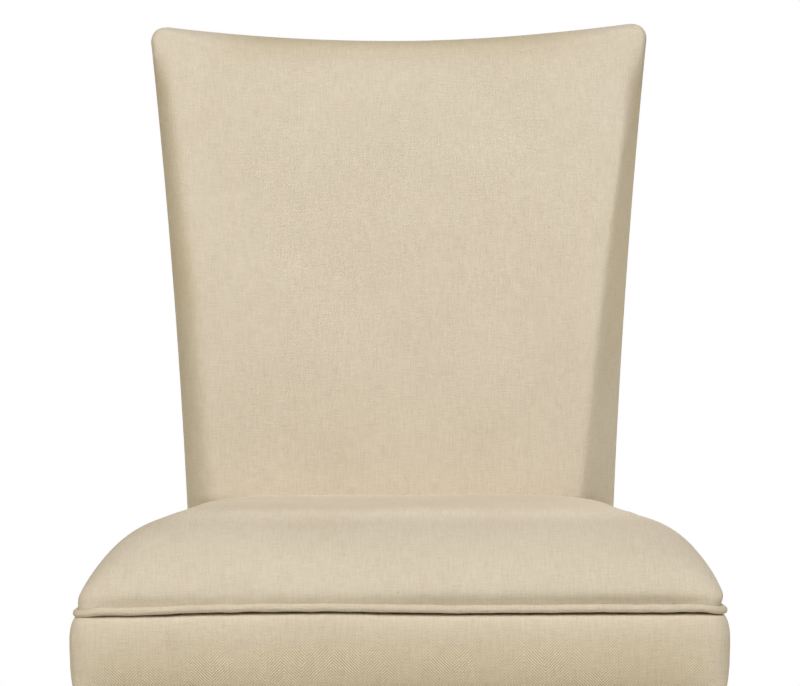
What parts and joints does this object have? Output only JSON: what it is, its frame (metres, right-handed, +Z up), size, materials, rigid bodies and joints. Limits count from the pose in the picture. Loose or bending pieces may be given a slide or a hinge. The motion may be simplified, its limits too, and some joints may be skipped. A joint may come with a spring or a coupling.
{
  "type": "upholstered dining chair",
  "caption": "Upholstered dining chair with a flared back and hollow crest, a domed seat with a welted edge, a padded rail and sabre legs.",
  "frame": {"origin": "on the floor in the middle of the chair's footprint", "axes": "+Z up, -Y out of the chair's front, +X to the right as seen from the front"},
  "size_m": [0.5316, 0.6002, 0.9504],
  "materials": {
    "show_wood": "satin lacquered fruitwood",
    "frame_wood": "bare sawn beech",
    "screw_steel": "zinc plated",
    "linen": "oatmeal linen weave",
    "foam": "open-cell foam",
    "wadding": "bonded polyester fibre",
    "webbing": "woven jute strap",
    "hessian": "open jute weave",
    "cord": "twisted paper cord",
    "dust_cloth": "black cambric",
    "glide_nylon": "moulded nylon"
  },
  "bodies": {
    "root": {"front_leg_left": "show_wood", "front_leg_right": "show_wood", "rear_post_left": "show_wood", "rear_post_right": "show_wood", "front_rail": "frame_wood", "rear_rail": "frame_wood", "side_rail_left": "frame_wood", "side_rail_right": "frame_wood", "lower_back_rail": "frame_wood", "crest_rail": "frame_wood", "corner_block_front_left": "frame_wood", "corner_block_front_right": "frame_wood", "corner_block_rear_left": "frame_wood", "corner_block_rear_right": "frame_wood", "frame_dowels": "frame_wood", "corner_block_screws": "screw_steel", "seat_cover": "linen", "rail_band": "linen", "inside_back_cover": "linen", "outside_back_cover": "linen", "welt_cover": "linen", "seat_foam": "foam", "back_foam": "foam", "seat_wadding": "wadding", "rail_wadding": "wadding", "back_wadding": "wadding", "outside_back_wadding": "wadding", "seat_webbing_lengthwise": "webbing", "seat_webbing_crosswise": "webbing", "back_webbing": "webbing", "seat_hessian": "hessian", "welt_core": "cord", "dust_cover": "dust_cloth", "glide_front_left": "glide_nylon", "glide_front_right": "glide_nylon", "glide_rear_left": "glide_nylon", "glide_rear_right": "glide_nylon"}
  },
  "joints": []
}
